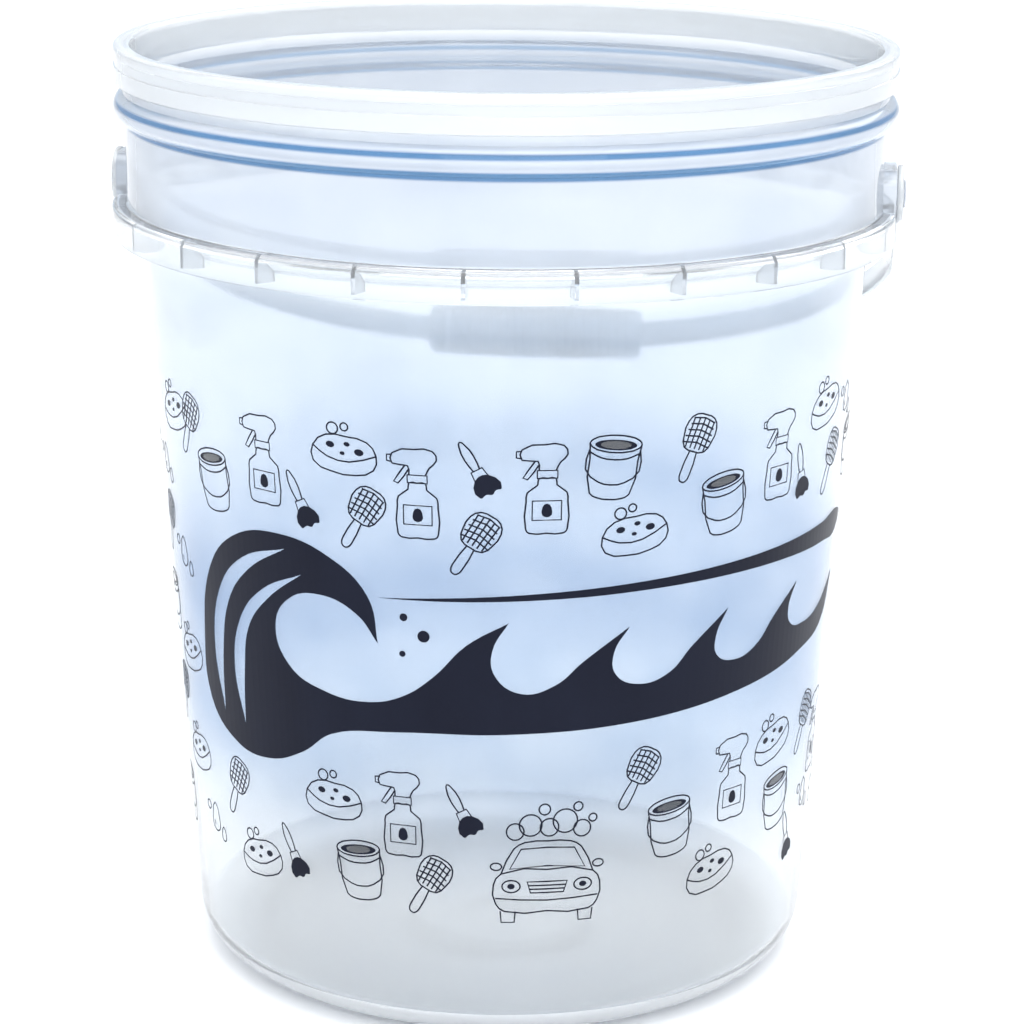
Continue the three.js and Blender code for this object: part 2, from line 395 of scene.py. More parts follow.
# %% The ears and their posts
pad_corner = 6
pad_outline = [
    at(-ear_half_width, ear_bottom),
    at(ear_half_width, ear_bottom),
    *arc((ear_half_width - pad_corner, ear_top - pad_corner), pad_corner, 0, 90, 8),
    *arc((pad_corner - ear_half_width, ear_top - pad_corner), pad_corner, 90, 180, 8),
]
pad_back = 148.1
pad_depth = ear_face - pad_back
pad_middle = (pad_back + ear_face) / 2
post_radius, cap_inside, cap_outside = 4, 156.8, 157.7
post_section = [
    at(pad_back + 2, 0),
    at(pad_back + 2, post_radius),
    at(cap_inside, post_radius),
    at(cap_inside, 5.2),
    at(cap_inside + 0.3, 5.6),
    at(cap_outside - 0.3, 5.5),
    at(cap_outside, 4.9),
    at(cap_outside, 2.4),
    at(cap_outside - 0.3, 2.1),
    at(cap_outside - 0.3, 0),
]
for side in (0, 180):
    pad = plate("pad", pad_outline, pad_depth)
    moved(pad, turn(90))
    moved(pad, Matrix.Translation((pad_middle * mm, 0, 0)))
    post = spun("post", post_section, axis=(1, 0, 0), steps=48)
    moved(post, Matrix.Translation((0, 0, pivot_height * mm)))
    for solid in (pad, post):
        moved(solid, turn(side))
        combine(pail, [solid])
smooth(pail)
print("pail with ears:", len(pail.data.polygons), "faces")

# %% [markdown]
# ## The bail
#
# The bail is one moulding too: two flat straps, an eye at the top of each, and a thicker round
# grip. It is drawn hanging straight down from the hinge line, then swung back against the wall.
# The straps run straight past the rim before they curve in, so that the bail can pass over it.

# %% The straps
strap_inside, strap_thickness, strap_width = 154.2, 2.4, 10
strap_start, straight_end, reach = 9, 58, 183
straight_share, thickness_at_grip = 0.35, 6
grip_half, rest_angle = 48, 58.7
strap_centre = strap_inside + strap_thickness / 2
curve_depth = reach - straight_end


def strap_point(share):
    """A point on the strap's centre line. The share is 0 at the eye and 1 inside the grip."""
    if share < straight_share:
        straight = (straight_end - strap_start) * share / straight_share
        return Vector((strap_centre, 0, -strap_start - straight))
    last = math.acos((grip_half - 3) / strap_centre)
    a = last * (share - straight_share) / (1 - straight_share)
    return Vector((strap_centre * math.cos(a), 0, -straight_end - curve_depth * math.sin(a)))


def strap_outline(steps=56):
    """Both sides of the strap's centre line, which thickens towards the grip."""
    outside, inside = [], []
    for i in range(steps + 1):
        share = i / steps
        ahead, behind = strap_point(min(share + 0.001, 1)), strap_point(max(share - 0.001, 0))
        along = (ahead - behind).normalized()
        across = Vector((-along.z, 0, along.x))
        thickening = max(0, share * 2 - 1) ** 2
        half = strap_thickness / 2 + (thickness_at_grip - strap_thickness) / 2 * thickening
        outside.append(strap_point(share) + across * half)
        inside.append(strap_point(share) - across * half)
    return outside + inside[::-1]


def rounded(piece, width):
    """Breaks the sharp edges, as a mould does."""
    modifier = piece.modifiers.new("rounding", "BEVEL")
    modifier.width = width * mm
    modifier.segments = 2
    modifier.limit_method = "ANGLE"
    modifier.angle_limit = math.radians(50)
    select_only(piece)
    bpy.ops.object.modifier_apply(modifier=modifier.name)
    return piece


right_strap = rounded(plate("bail", strap_outline(), strap_width), 0.55)
left_strap = copy_of(right_strap, turn(180))
print("strap:", len(right_strap.data.polygons), "faces")

# %% [markdown]
# The eye is a disc with a hole that turns on the post. The grip is a barrel, a little thicker in
# the middle, with shallow rings moulded round it so that wet hands don't slip. The rings are a
# row of small waves in the barrel's section, so one spin makes them all.

# %% The eyes and the grip
eye_outside = strap_inside + strap_thickness
eye_hole, eye_radius = post_radius + 0.08, 11.5
eye_section = [
    at(strap_inside, eye_hole),
    at(strap_inside, eye_radius - 0.6),
    at(strap_inside + 0.2, eye_radius - 0.2),
    at(strap_inside + 0.6, eye_radius),
    at(eye_outside - 0.6, eye_radius),
    at(eye_outside - 0.2, eye_radius - 0.2),
    at(eye_outside, eye_radius - 0.6),
    at(eye_outside, 7.6),
    at(eye_outside - 0.3, 7.3),
    at(eye_outside - 0.3, 6.3),
    at(eye_outside - 0.3, eye_hole),
    at(strap_inside, eye_hole),
]
right_eye = spun("eye", eye_section, axis=(1, 0, 0), steps=96)
left_eye = copy_of(right_eye, turn(180))

rings, points_per_ring, ring_depth = 22, 6, 0.5
ring_span = grip_half - 6
grip_core, grip_swell = 10.8, 1.1


def ring_point(i):
    """One point of the ringed barrel, which is thickest in the middle."""
    x = -ring_span + 2 * ring_span * i / (rings * points_per_ring)
    swell = grip_core + grip_swell * math.cos(math.pi / 2 * x / grip_half)
    groove = ring_depth * (0.5 - 0.5 * math.cos(2 * math.pi * i / points_per_ring)) ** 2
    return at(x, swell - groove)


grip_section = [
    at(-grip_half, 0),
    at(-grip_half, 8.8),
    at(-grip_half + 0.6, 10),
    at(-grip_half + 2, 10.6),
    *[ring_point(i) for i in range(rings * points_per_ring + 1)],
    at(grip_half - 2, 10.6),
    at(grip_half - 0.6, 10),
    at(grip_half, 8.8),
    at(grip_half, 0),
]
grip = spun("grip", grip_section, axis=(1, 0, 0), steps=64)
hoop_angle = math.acos((grip_half + 0.3) / strap_centre)
grip_depth = straight_end + curve_depth * math.sin(hoop_angle)
moved(grip, Matrix.Translation((0, 0, -grip_depth * mm)))

bail = join([right_strap, left_strap])
for solid in (right_eye, left_eye, grip):
    combine(bail, [solid])
bail.name = bail.data.name = "plastic_bail"
swung_back = Matrix.Rotation(math.radians(rest_angle), 4, "X")
moved(bail, Matrix.Translation((0, 0, pivot_height * mm)) @ swung_back)
smooth(bail)
print("bail:", len(bail.data.polygons), "faces")

# %% [markdown]
# ## The print
#
# The bucket is screen printed in one dark navy ink. A big breaking wave with a long stroke over
# it goes across the front, and small outline drawings of washing gear fill the rows above and
# below. The print's middle is turned a few degrees from the line midway between the ears.
#
# Each drawing is made flat, as a 2D curve: across is distance round the wall, up is height. It
# becomes a mesh, is cut into narrow upright strips so that it can bend, and is then wrapped on
# to the cone in code, because no modifier follows a cone exactly.

# %% Wrapping a flat drawing on to the wall
film_gap, film_thickness = 0.05, 0.05
middle_height = 155
mm_per_degree = math.radians(1) * outer_radius(middle_height)
strip_width = 3.5
front_angle = 5.5


def wrap(piece):
    """Bends a flat drawing in XY, whose thickness is along Z, round the outside of the wall."""
    for vertex in piece.data.vertices:
        across, height, depth = vertex.co / mm
        angle = math.radians(across / mm_per_degree)
        radius = outer_radius(height) + film_gap + depth
        vertex.co = Vector((radius * math.sin(angle), -radius * math.cos(angle), height)) * mm
    piece.data.update()


def cut_into_strips(piece):
    """Cuts the flat drawing along upright lines, so that each strip can lie on the cone."""
    across = [vertex.co.x for vertex in piece.data.vertices]
    first, last = min(across), max(across)
    select_only(piece)
    bpy.ops.object.mode_set(mode="EDIT")
    cuts = int((last - first) / (strip_width * mm))
    for i in range(1, cuts + 1):
        bpy.ops.mesh.select_all(action="SELECT")
        place = first + i * strip_width * mm
        bpy.ops.mesh.bisect(plane_co=(place, 0, 0), plane_no=(1, 0, 0))
    bpy.ops.object.mode_set(mode="OBJECT")


def to_mesh(drawing):
    """Turns a drawn curve into a mesh that can be edited."""
    select_only(drawing)
    bpy.ops.object.convert(target="MESH")
    return bpy.context.object


def curve(name, width=0.0):
    """An empty flat curve: with a width it draws lines, without one it fills shapes."""
    data = bpy.data.curves.new(name, "CURVE")
    data.dimensions = "3D" if width else "2D"
    data.resolution_u = 6
    if width:
        data.bevel_depth = width / 2 * mm
        data.bevel_resolution = 0
        data.use_fill_caps = True
    else:
        data.fill_mode = "BOTH"
    drawing = bpy.data.objects.new(name, data)
    bpy.context.collection.objects.link(drawing)
    return drawing


def add_line(drawing, points, closed=False, corners=()):
    """Adds a smooth line through the points, with a sharp corner at each listed one."""
    spline = drawing.data.splines.new("BEZIER")
    spline.bezier_points.add(len(points) - 1)
    spline.use_cyclic_u = closed
    for i, (bezier, point) in enumerate(zip(spline.bezier_points, points)):
        bezier.co = (point[0] * mm, point[1] * mm, 0)
        kind = "VECTOR" if corners == "all" or i in corners else "AUTO"
        bezier.handle_left_type = bezier.handle_right_type = kind


def filled(name, outline, corners, layer=0, holes=()):
    """A film of ink with a smooth outline, wrapped on to the wall."""
    drawing = curve(name)
    add_line(drawing, outline, closed=True, corners=corners)
    for hole, hole_corners in holes:
        add_line(drawing, hole, closed=True, corners=hole_corners)
    film = to_mesh(drawing)
    cut_into_strips(film)
    bpy.ops.object.mode_set(mode="EDIT")
    bpy.ops.mesh.select_all(action="SELECT")
    bpy.ops.mesh.remove_doubles(threshold=0.01 * mm)
    bpy.ops.mesh.extrude_region_move(
        TRANSFORM_OT_translate={"value": (0, 0, (film_thickness + 0.01 * layer) * mm)}
    )
    bpy.ops.mesh.select_all(action="SELECT")
    bpy.ops.mesh.normals_make_consistent(inside=False)
    bpy.ops.object.mode_set(mode="OBJECT")
    wrap(film)
    return film


print("one degree round the wall is", round(mm_per_degree, 2), "mm")

# %% [markdown]
# The big drawing's outlines are listed as angle and height. Angle is in degrees round the wall,
# with 0 at the middle of the front and positive to the right. There are three shapes: a breaking
# wave that runs on into four swells, a long tapering stroke above it, and drops of spray. Two
# crescents left clear inside the wave show the water turning over.

# %% The wave, the stroke and the spray
def across_wall(angle):
    """An angle from the middle of the front, turned into distance round the wall."""
    return (angle + front_angle) * mm_per_degree


def on_wall(points):
    """The same for every point of an outline."""
    return [(across_wall(angle), height) for angle, height in points]


wave_top = [
    (-59.5, 122), (-60, 150), (-56.5, 176), (-48.5, 194), (-38, 200), (-28, 194.5),
    (-21.5, 181), (-20, 163), (-23.5, 173.5), (-30, 179), (-36.5, 174.5), (-39.5, 162),
    (-37, 148), (-30, 140.5), (-22, 139), (-16, 143), (-11, 151.5), (-5.5, 165), (1, 174),
    (-1.5, 163), (-1.2, 153.5), (3, 146), (8.5, 149), (13, 158), (20.5, 170.5), (18, 160.5),
    (18.4, 152), (22.5, 147), (28, 150), (32, 159), (39, 171.5), (36.8, 161), (37.2, 153.5),
    (41.5, 149.5), (46.5, 153), (50.5, 162), (57, 173), (55, 163), (56, 156.5), (61, 153.5),
    (69, 157), (76, 166),
]
wave_bottom = [
    (72, 150), (60, 142), (40, 135.5), (20, 131.5), (0, 129.5), (-18, 128), (-29, 123.5),
    (-35, 113.5), (-43, 106.5), (-52, 108.5),
]
tips = (7, 18, 24, 30, 36, 41)
outer_crescent = [
    (-54.6, 119), (-56.6, 144), (-53.8, 169), (-46.4, 186.5), (-36.5, 194.5),
    (-45, 182.5), (-51, 166.5), (-53.8, 144),
]
inner_crescent = [
    (-48.6, 117.5), (-50.6, 140), (-48.2, 160.5), (-42, 176), (-33.5, 185.5),
    (-41, 172.5), (-46, 158.5), (-47.8, 140),
]
crescent_ends = (0, 4)
wave = filled(
    "printed_wave", on_wall(wave_top + wave_bottom), tips,
    holes=[(on_wall(crescent), crescent_ends) for crescent in (outer_crescent, inner_crescent)],
)

stroke_outline = [
    (-20, 181.2), (-8, 183.2), (10, 186), (30, 188.6), (50, 190.6), (66, 191.6), (76, 191.4),
    (78.2, 188.2), (75.5, 183.2), (66, 183.4), (50, 184.6), (30, 184.6), (10, 183.2), (-8, 181.8),
]
stroke = filled("printed_stroke", on_wall(stroke_outline), (0,), layer=1)


def spray_drop(angle, height, size):
    """A round drop of ink. Angle and height are its middle, and size is its radius."""
    middle = across_wall(angle)
    around = [math.radians(a) for a in range(0, 360, 45)]
    outline = [(middle + size * math.cos(a), height + size * math.sin(a)) for a in around]
    return filled("spray", outline, (), layer=2)


spray_places = ((-15.6, 174.5, 1.5), (-12.4, 167.5, 2.3), (-15.9, 160, 1.2))
spray = [spray_drop(*place) for place in spray_places]
big_print = join([wave, stroke, *spray])
big_print.name = big_print.data.name = "printed_wave"
print("big print:", len(big_print.data.polygons), "faces")

# %% [markdown]
# The small drawings are lines about 0.6 mm wide. Each is drawn once round its own middle, in
# millimetres, as three lists: curved lines, lines with sharp corners, and filled spots. A thin
# square tube along each line is flattened to the thickness of ink.

# %% Shapes that the drawings share
line_width = 0.62


def oval(x, y, across, up, steps=12):
    """A closed ring of points round a middle, with its half width and half height."""
    angles = [2 * math.pi * i / steps for i in range(steps + 1)]
    return [(x + across * math.cos(a), y + up * math.sin(a)) for a in angles]


def both_sides(points):
    """A line that ends on the middle line, with its mirror image after it."""
    return points + [(-x, y) for x, y in reversed(points[:-1])]


print("the lines are", line_width, "mm wide")

# %% [markdown]
# The bottle has a trigger head and a label with a drop on it. The pail is this same bucket, small
# enough that an oval and three curves say what it is.

# %% A spray bottle and a pail
def spray_bottle():
    """A bottle with a trigger head, which faces left."""
    shoulder = [(0, 3), (-3, 3), (-3.4, 0.5), (-7, -2.4), (-7.4, -6)]
    body = both_sides([*shoulder, (-7.4, -16.6), (-6.2, -18), (0, -18)])
    collar = [(-3.6, 3), (-3.6, 6), (3.6, 6), (3.6, 3), (-3.6, 3)]
    head = [
        (-3, 6), (-3.4, 9.5), (-9, 10), (-9, 14), (-1, 15.8),
        (5.6, 15.4), (7, 12), (4.4, 9), (3, 6),
    ]
    trigger = [(-4.4, 9.6), (-6.6, 6.4), (-8.6, 3.2), (-7, 2.6), (-4.8, 5.4), (-3.2, 8)]
    label = [(-5.2, -5.6), (5.2, -5.6), (5.2, -13), (-5.2, -13), (-5.2, -5.6)]
    nozzle = [(-9, 10.6), (-11, 10.9), (-11, 13.2), (-9, 13.4)]
    drop = [(0, -6.6), (-1.9, -9.6), (-1.2, -11.5), (1.2, -11.5), (1.9, -9.6)]
    return [body, head], [collar, trigger, label, nozzle], [drop]


def small_pail():
    """An open pail with its handle down."""
    mouth = oval(0, 9, 9.6, 3.3)
    body = both_sides([(-9.6, 9), (-8.9, 3), (-7.4, -10), (-4.5, -11.7), (0, -12.2)])
    band = both_sides([(-9.2, 5.6), (-5, 3.6), (0, 3)])
    handle = both_sides([(-9.4, 6.6), (-10, -1), (-5, -5.6), (0, -6.6)])
    return [mouth, body, band, handle], [], [oval(0, 8.6, 7.8, 2)]


# %% [markdown]
# The rest of the washing gear. A drawing as small as a thumbnail needs one telling feature: holes
# for the sponge, a mesh of rows and tufts for the wheel brush, and a splayed dark tip for the
# detailing brush.

# %% A sponge, drops and two brushes
def sponge():
    """A bath sponge with holes in it and two bubbles above."""
    top = [(-12, 1.5), (-7, 6.6), (1, 7.4), (9, 6.8), (13, 2.2)]
    under = [(12.4, -3.4), (6, -6.6), (-4, -7), (-11.4, -4.6), (-12, 1.5)]
    edge = [(-12, 1.5), (-6, -1.6), (3, -2), (13, 2.2)]
    suds = [oval(-4.6, 9.6, 2.2, 2.2, 10), oval(0, 11, 1.5, 1.5, 10)]
    holes = [
        oval(x, y, radius, 0.7 * radius, 8)
        for x, y, radius in ((-5, 3.2, 1.7), (1.5, 4.6, 1.2), (6.4, 2.4, 1.8), (0, 0.8, 1))
    ]
    return [top + under, edge, *suds], [], holes


def drops():
    """A large drop of water, a small one and a bubble."""
    drop = [
        (0, 7), (-3.4, 1), (-3.6, -2.6), (-1.6, -4.8), (1.6, -4.8), (3.6, -2.6), (3.4, 1), (0, 7),
    ]
    small_drop = [(0.5 * x + 7, 0.5 * y - 5) for x, y in drop]
    glint = [(-1.8, -1), (-1.2, -3)]
    return [drop, small_drop, glint, oval(-7, 4, 1.9, 1.9, 10)], [], []


def wheel_brush():
    """A round brush for wheels, with its bristles drawn as a mesh."""
    handle = both_sides([(-1.5, -1), (-2, -10), (-1.2, -12.6), (0, -13)])
    head = both_sides([(0, -1), (-4.4, -0.2), (-6.2, 4), (-6.4, 9.4), (-4, 12.8), (0, 13.4)])
    rows = [
        [(0.3 * i - 6, 1.6 + 2.4 * i), (0, 2.6 + 2.4 * i), (6 - 0.3 * i, 1.6 + 2.4 * i)]
        for i in range(5)
    ]
    tufts = [[(x, 0), (1.1 * x, 12.4 - 0.3 * abs(x))] for x in (-4, -2, 0, 2, 4)]
    return [head, handle], [*rows, *tufts], []


def detail_brush():
    """A slim brush for seams and vents, with a dark tip."""
    handle = both_sides([(-1.2, 0), (-1.8, 5), (-1, 10.5), (0, 12)])
    ferrule = [(-2.2, 0), (2.2, 0), (2.6, -3.4), (-2.6, -3.4), (-2.2, 0)]
    bristles = [
        (-2.7, -3.4), (-4.2, -10), (-1.6, -9.8), (0.4, -10.8),
        (2.2, -9.8), (4.4, -10.2), (2.7, -3.4),
    ]
    return [handle], [ferrule], [bristles]


# %% [markdown]
# The largest of the small drawings stands low on the front: a car seen head on, with suds heaped
# on its roof. A car's front is the same on both sides, so only its left half is listed.

# %% A car under suds
def car_front():
    """A car from the front. Its parts are listed from the roof down."""
    roof = both_sides([(-18.4, 2.6), (-13.4, 13), (-9, 15.6), (0, 16)])
    windscreen = both_sides([(0, 13.4), (-10.6, 12.8), (-15, 4.6), (0, 5.8)])
    body = both_sides([(0, -13), (-17, -13), (-20.4, -10), (-21.4, -2), (-18.4, 2.6), (0, 4.2)])
    grille = both_sides([(0, -0.8), (-8, -0.8), (-6.6, -5.4), (0, -5.4)])
    slats = [both_sides([(-7.4, -2.4), (0, -2.4)]), both_sides([(-7, -3.9), (0, -3.9)])]
    bumper = both_sides([(-20.6, -7.6), (0, -8.6)])
    wheels, lamps, bulbs, mirrors = [], [], [], []
    for side in (-1, 1):
        wheel = [(18.6, -13), (18.2, -17.6), (13, -17.6), (12.6, -13)]
        wheels.append([(side * x, y) for x, y in wheel])
        lamps.append(oval(side * 14.4, -2.6, 3.6, 2.5, 10))
        bulbs.append(oval(side * 14.4, -2.6, 1.5, 1.1, 8))
        mirrors.append(oval(side * 20.4, 5.6, 2.2, 1.5, 8))
    bubbles = [
        (-13, 20, 3.4), (-7, 22.6, 4.4), (0.4, 21.6, 3.6), (6.6, 24, 4.8), (13.4, 20.6, 3.4),
        (-1.6, 29, 2.2), (11.6, 29.6, 1.8), (17.6, 24.6, 1.6),
    ]
    suds = [oval(x, y, radius, radius) for x, y, radius in bubbles]
    curved = [roof, body, bumper, *lamps, *mirrors, *suds]
    straight = [windscreen, grille, *slats, *wheels]
    return curved, straight, bulbs


# %% [markdown]
# There are about sixty small drawings on the wall, so each keeps to few points. A copy of the
# flat drawing is moved and tilted while it is still flat, and wrapped last.

# %% Placing the small drawings
def is_closed(points):
    """Whether a line ends where it began."""
    return math.dist(points[0], points[-1]) < 0.01


def without_repeat(points):
    """A closed line's points, without the last one that repeats the first."""
    return points[:-1] if is_closed(points) else points


def line_drawing(shape):
    """The flat drawing of one piece of gear, round its own middle."""
    curved, straight, spots = shape()
    outlines = curve(shape.__name__, line_width)
    outlines.data.resolution_u = 2
    for lines, corners in ((curved, ()), (straight, "all")):
        for points in lines:
            add_line(outlines, without_repeat(points), is_closed(points), corners)
    drawing = to_mesh(outlines)
    for vertex in drawing.data.vertices:
        vertex.co.z = (0.5 + vertex.co.z / (line_width * mm)) * film_thickness * mm
    return join([drawing, *[filled_spot(points) for points in spots]])


def filled_spot(points):
    """A flat blot of ink inside an outline."""
    spot = curve("spot")
    spot.data.resolution_u = 3
    add_line(spot, without_repeat(points), closed=True)
    blot = to_mesh(spot)
    bpy.ops.object.mode_set(mode="EDIT")
    bpy.ops.mesh.select_all(action="SELECT")
    bpy.ops.mesh.extrude_region_move(
        TRANSFORM_OT_translate={"value": (0, 0, film_thickness * mm)}
    )
    tidy_mesh()
    bpy.ops.object.mode_set(mode="OBJECT")
    return blot


drawings = {
    "bottle": line_drawing(spray_bottle),
    "pail": line_drawing(small_pail),
    "sponge": line_drawing(sponge),
    "wheel": line_drawing(wheel_brush),
    "brush": line_drawing(detail_brush),
    "drops": line_drawing(drops),
    "car": line_drawing(car_front),
}
# Each place: which drawing, angle round the wall, height, and tilt in degrees.
upper_row = [
    ("bottle", -84, 226, 0), ("drops", -74, 210, 0), ("sponge", -66, 234, 12),
    ("wheel", -60, 232, -25), ("pail", -52.6, 214, 8), ("bottle", -40, 229, 0),
    ("brush", -33, 215, 25), ("sponge", -25, 235, -6), ("wheel", -22.5, 211, -30),
    ("bottle", -13, 224, 0), ("brush", -4, 233, 30), ("wheel", -4.7, 204, -32),
    ("bottle", 6.6, 227, 0), ("pail", 16.6, 233, -6), ("sponge", 20.5, 206, 6),
    ("wheel", 30, 237, -20), ("pail", 36.6, 214, 8), ("bottle", 48.6, 229, 0),
    ("brush", 55, 218, 15), ("sponge", 62, 240, 8), ("wheel", 66, 216, -25),
    ("drops", 73, 238, 0), ("pail", 79, 216, 5), ("bottle", 87, 230, 0),
]
lower_row = [
    ("bottle", -86, 96, 0), ("wheel", -76, 112, -20), ("sponge", -68, 92, 8),
    ("pail", -80, 66, 6), ("drops", -62, 68, 0), ("wheel", -53, 88, -25),
    ("sponge", -47, 62, 10), ("brush", -38.5, 70, 25), ("sponge", -29.5, 96, -5),
    ("pail", -24.5, 69, 6), ("bottle", -16.5, 96, 0), ("wheel", -12.5, 66, -30),
    ("brush", -6.5, 98, 28), ("car", 8, 70, 0), ("wheel", 23, 108, -28), ("pail", 30, 86, 6),
    ("sponge", 39.5, 62, 10), ("bottle", 43.5, 101, 0), ("sponge", 54, 108, 12),
    ("pail", 57, 82, 6), ("wheel", 66, 108, -25), ("brush", 63, 62, 20), ("bottle", 75, 100, 0),
    ("drops", 71, 74, 0), ("sponge", 84, 70, 8), ("wheel", 86, 110, -20),
]
side_column = [
    ("wheel", -75, 184, -20), ("drops", -67, 176, 0), ("pail", -78, 150, 5),
    ("sponge", -68, 134, 10), ("drops", -87, 172, 0), ("bottle", -88, 138, 0),
    ("pail", 86, 178, 5), ("drops", 89, 150, 0),
]


def placed(kind, angle, height, tilt):
    """A copy of one drawing, tilted at its place and wrapped on to the wall."""
    place = Matrix.Translation((across_wall(angle) * mm, height * mm, 0))
    drawing = copy_of(drawings[kind], place @ Matrix.Rotation(math.radians(tilt), 4, "Z"))
    wrap(drawing)
    return drawing


small_print = join([placed(*place) for place in upper_row + lower_row + side_column])
small_print.name = small_print.data.name = "printed_gear"
for drawing in drawings.values():
    bpy.data.objects.remove(drawing)
print("small print:", len(small_print.data.polygons), "faces")

# %% [markdown]
# ## Finishes
#
# Node materials are written as sums. A `Field` is one output of a node, and adding or
# multiplying fields makes the Math nodes that a person would drop in and wire up by hand.

# %% A short way to write nodes
class Field:
    """A number or colour that varies over a surface."""

    def __init__(self, finish, socket):
        self.finish, self.socket = finish, socket

    def maths(self, operation, *inputs):
        return self.finish.node("ShaderNodeMath", {"operation": operation}, *inputs)

    def __add__(self, other):
        return self.maths("ADD", self, other)

    __radd__ = __add__

    def __mul__(self, other):
        return self.maths("MULTIPLY", self, other)

    __rmul__ = __mul__

    def __rsub__(self, other):
        return self.maths("SUBTRACT", other, self)

    def root(self):
        """The square root."""
        return self.maths("SQRT", self)

    def ramp(self, low, high):
        """0 below low, 1 above high, with a soft change between them."""
        settings = {"interpolation_type": "SMOOTHSTEP"}
        return self.finish.node("ShaderNodeMapRange", settings, self, low, high, 0.0, 1.0)


class Finish:
    """One material. Its colour, roughness and bump are written with fields."""

    def __init__(self, name, **constants):
        self.material = bpy.data.materials.new(name)
        self.material.use_nodes = True
        self.tree = self.material.node_tree
        self.shader = self.tree.nodes["Principled BSDF"]
        for socket, value in constants.items():
            self.shader.inputs[socket.replace("_", " ")].default_value = value
        self.place = self.node("ShaderNodeTexCoord", {}, output="Object")

    def node(self, kind, settings, *inputs, output=0, **named):
        """One node with its settings, and a value or a field for each input."""
        made = self.tree.nodes.new(kind)
        for key, value in settings.items():
            setattr(made, key, value)
        for socket, value in [*enumerate(inputs), *named.items()]:
            self.feed(made.inputs[socket], value)
        return Field(self, made.outputs[output])

    def feed(self, socket, value):
        """Links a field to a socket, or sets a plain value on it."""
        if isinstance(value, Field):
            self.tree.links.new(value.socket, socket)
        else:
            socket.default_value = value

    def set(self, socket, value):
        """One socket of the shader, by its name."""
        self.feed(self.shader.inputs[socket], value)

    def xyz(self):
        """The three Object coordinates, in metres."""
        return [self.node("ShaderNodeSeparateXYZ", {}, self.place, output=i) for i in range(3)]

    def noise(self, size, detail=2.0, stretch=(1, 1, 1)):
        """Cloudy noise. Size is about the width of one cloud, in millimetres."""
        scale = [factor / (size * mm) for factor in stretch]
        shrunk = self.node("ShaderNodeVectorMath", {"operation": "MULTIPLY"}, self.place, scale)
        return self.node("ShaderNodeTexNoise", {}, Vector=shrunk, Scale=1.0, Detail=detail)

    def blend(self, share, first, second):
        """A colour between two others. Mix keeps its colours in sockets 6 and 7, and output 2."""
        made = self.tree.nodes.new("ShaderNodeMix")
        made.data_type = "RGBA"
        for index, value in ((0, share), (6, first), (7, second)):
            self.feed(made.inputs[index], value)
        return Field(self, made.outputs[2])

    def bump(self, height, strength, distance):
        """Small relief. Distance is its depth in millimetres."""
        self.set("Normal", self.node(
            "ShaderNodeBump", {}, Height=height, Strength=strength, Distance=distance * mm,
        ))


def colour(red, green, blue):
    """A colour as a screen shows it, 0 to 255, in the linear values that a node wants."""
    shares = [channel / 255 for channel in (red, green, blue)]
    return [s / 12.92 if s < 0.04045 else ((s + 0.055) / 1.055) ** 2.4 for s in shares] + [1]


print("white is", colour(255, 255, 255), "and middle grey", colour(128, 128, 128))

# %% [markdown]
# Clear polypropylene isn't as clear as glass. It has a faint milky blue haze, and the flow of the
# plastic leaves soft clouds in it. The side wall also carries painted blue shade, strongest about a
# third of the way up, broken up by those clouds. The thin side wall and skirt are clearest. The
# neck, rim, ribs and floor are thicker and less polished, so more of their light is scattered and
# less goes straight through. The share that goes through is one constant, so the two are two
# finishes. Looking along thick plastic shows its own blue, as it does in two lines at the bead.

# %% The clear plastic
def polypropylene(name, through, tint_and_shade_colour, tint_and_shade):
    """Clear plastic. A field gives where it is blue: painted shade on the wall, its own blue
    elsewhere.
    """
    finish = Finish(name, Transmission_Weight=through, IOR=1.49)
    x, y, height = finish.xyz()
    radius = (x * x + y * y).root()
    share = tint_and_shade(finish, radius, height)
    finish.set("Base Color", finish.blend(share, colour(252, 254, 255), tint_and_shade_colour))
    finish.set("Roughness", 0.03 + 0.06 * finish.noise(30, 3.0))
    finish.bump(finish.noise(16, 3.0, (1, 1, 0.35)), 0.25, 0.12)
    return finish


def wall_shade_and_clouds(finish, _, height):
    """Painted blue shade, strongest a third of the way up, in clouds, with faint upright streaks."""
    # This band of blue is painted shade that stands for the surroundings seen through the wall.
    middle = height.ramp(0.05, 0.12) * (1 - 0.6 * height.ramp(0.16, 0.22))
    clouds = 0.4 + 0.8 * finish.noise(70, 2.0, (1, 1, 1.6))
    streaks = finish.noise(9, 3.0, (1, 1, 0.06))
    below_the_skirt = 1 - height.ramp(0.285, 0.3)
    return below_the_skirt * (middle * clouds + 0.08 * streaks)


def belt(height, middle, width):
    """1 inside a level belt round the pail, in millimetres, and 0 away from it."""
    low, high = (middle - width / 2) * mm, (middle + width / 2) * mm
    soft = 0.8 * mm
    return height.ramp(low - soft, low + soft) * (1 - height.ramp(high - soft, high + soft))


def bead_and_rim(finish, radius, height):
    """Blue lines above and below the bead, on the outside only, and a faint blue neck."""
    outside = radius.ramp(0.148, 0.149)
    lines = outside * (0.9 * belt(height, 349, 2) + belt(height, 341.6, 3.4))
    neck = height.ramp(0.29, 0.31) * (1 - height.ramp(0.353, 0.357))
    return lines + 0.05 + neck * (0.12 + 0.15 * finish.noise(40, 2.0))


# The wall's blue is painted shade, in a band about a third of the way up.
thin_wall = polypropylene("clear polypropylene wall", 0.92, colour(170, 189, 212), wall_shade_and_clouds)
thick_parts = polypropylene(
    "clear polypropylene neck and rim", 0.6, colour(66, 120, 172), bead_and_rim
)
print("clear plastic:", thin_wall.material.name, "and", thick_parts.material.name)

# %% [markdown]
# The bail is moulded in the natural, undyed plastic. It is thicker and less polished than the
# pail, so it looks a little frosted.

